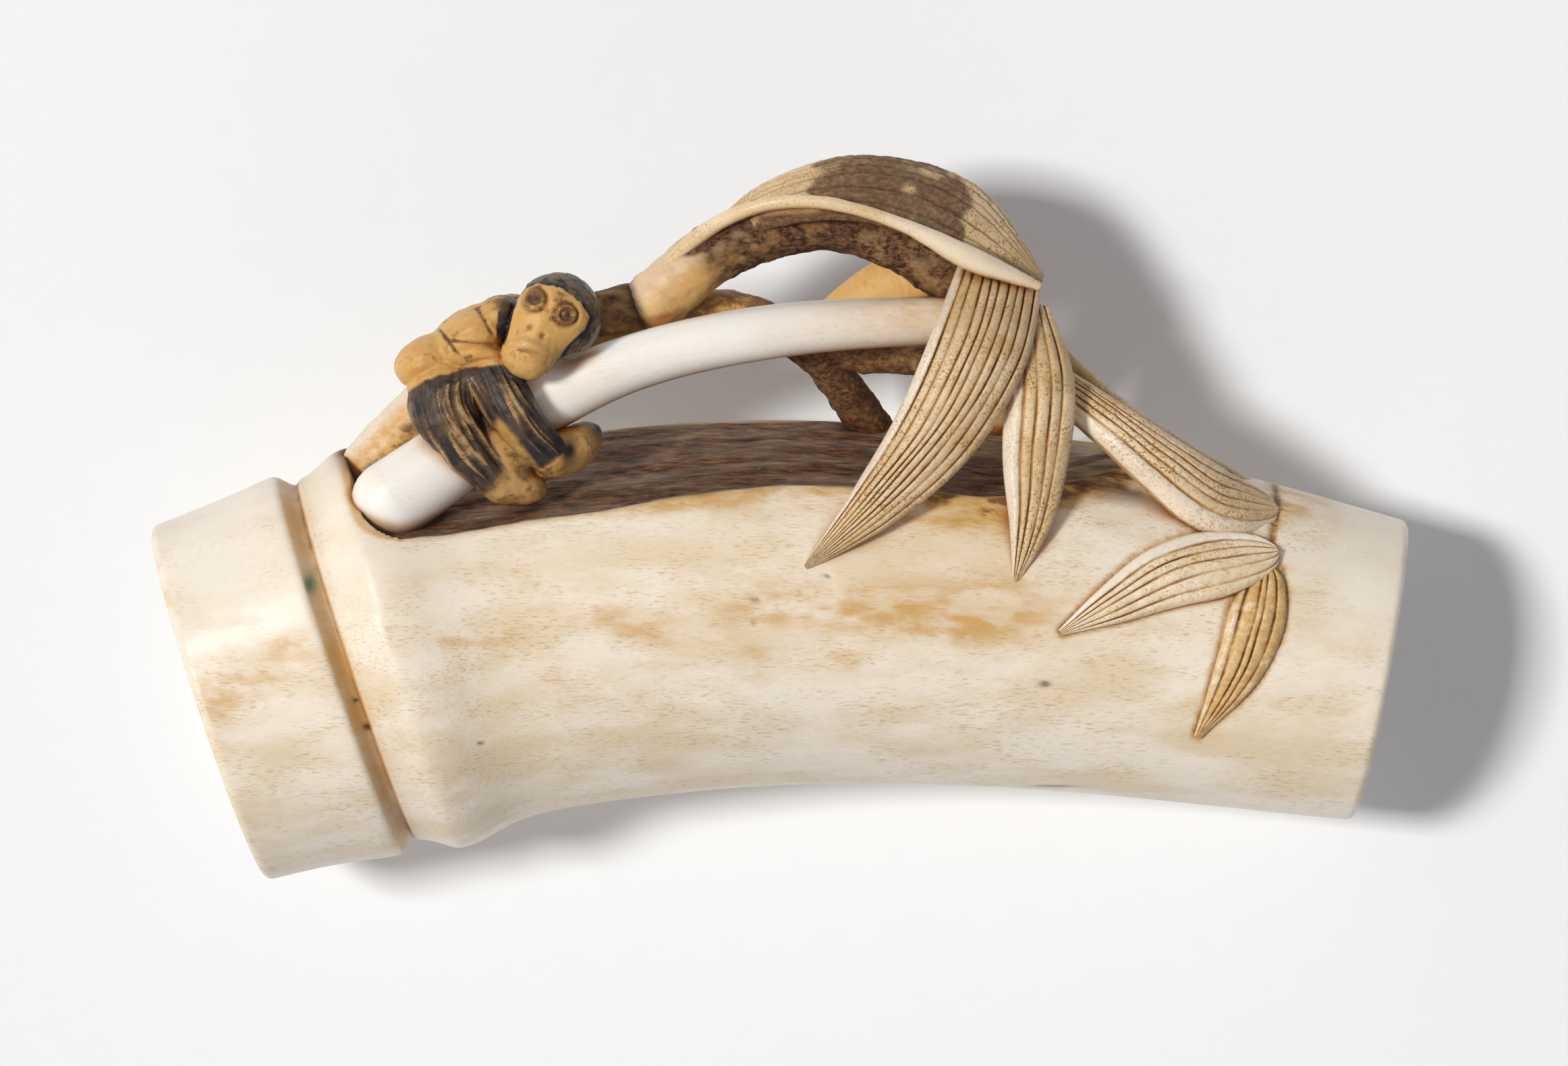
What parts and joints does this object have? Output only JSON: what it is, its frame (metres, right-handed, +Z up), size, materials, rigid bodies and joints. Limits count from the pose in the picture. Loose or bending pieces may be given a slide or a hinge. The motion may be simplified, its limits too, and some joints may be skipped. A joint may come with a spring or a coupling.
{
  "type": "netsuke",
  "caption": "Small carved antler toggle: a bent bamboo culm with a node ring, arched stems and ribbed leaves over a flat cut in it, and a little monkey clinging to the stems",
  "frame": {"origin": "middle of the bounding box in X and Y, on the table it lies on (Z = 0)", "axes": "+X along the culm from its node end to its plain end, +Y from the culm towards the arched stems, +Z up, away from the table it lies on with its worn back down"},
  "size_m": [0.0762, 0.0435, 0.0248],
  "materials": {
    "antler": "polished stag antler, cream with tan mottling; dark stain in the cuts, on the leaves and on the monkey"
  },
  "bodies": {
    "root": {"netsuke_carving": "antler"}
  },
  "joints": []
}
